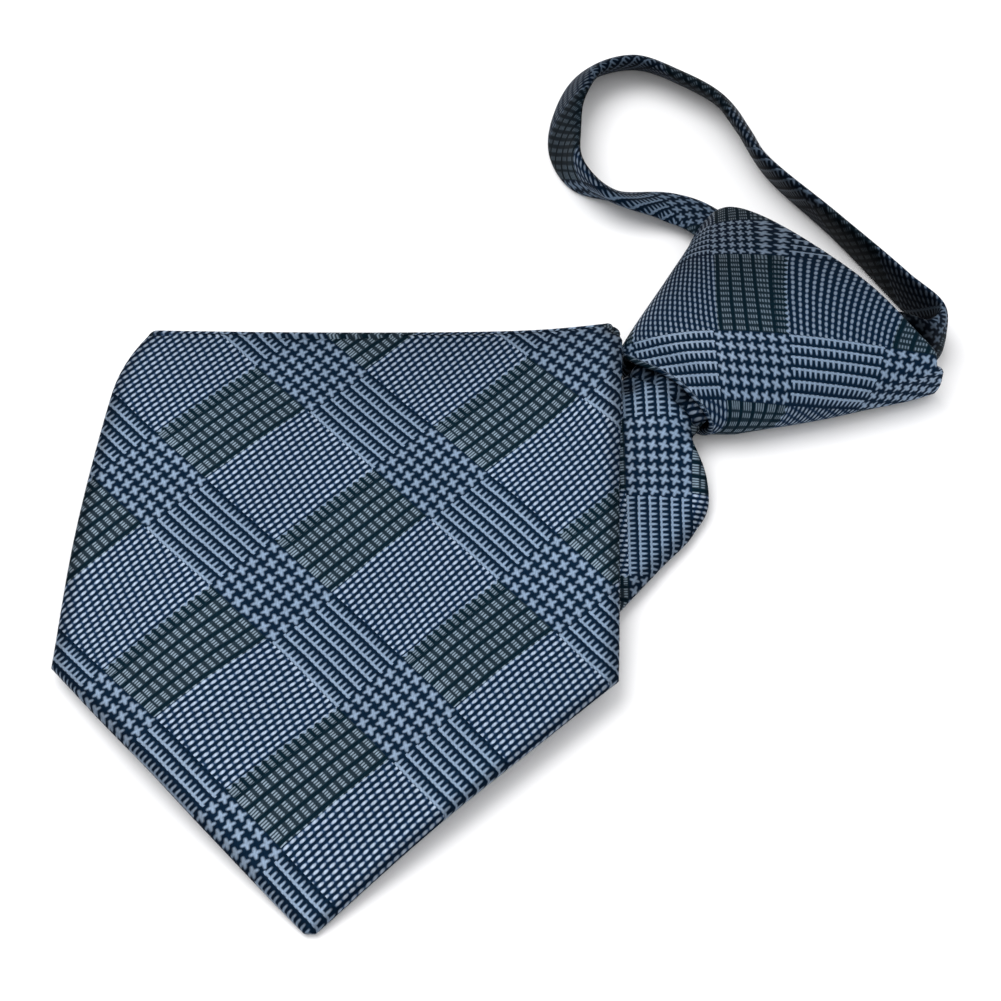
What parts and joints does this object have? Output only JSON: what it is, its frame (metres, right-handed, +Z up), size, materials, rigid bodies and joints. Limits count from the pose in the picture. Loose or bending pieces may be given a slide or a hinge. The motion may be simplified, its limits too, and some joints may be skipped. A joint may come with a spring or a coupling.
{
  "type": "zipper tie",
  "caption": "Pre-tied zipper necktie lying flat: pointed plaid blade folded on top, tied knot at the side and a drawn-up neck loop behind it.",
  "frame": {"origin": "middle of the whole tie in the plan, on the surface that it lies on", "axes": "+X to the right of the blade, +Y away from its point towards the neck loop, +Z up from the surface"},
  "size_m": [0.1414, 0.1784, 0.0156],
  "materials": {
    "plaid_cloth": "silky twill in a glen plaid of deep navy and pale steel blue, cut on the bias",
    "zipper_tape": "matt woven navy tape with a smooth coil"
  },
  "bodies": {
    "root": {"front_blade": "plaid_cloth", "knot": "plaid_cloth", "neck_band": "plaid_cloth", "zipper": "zipper_tape"}
  },
  "joints": []
}
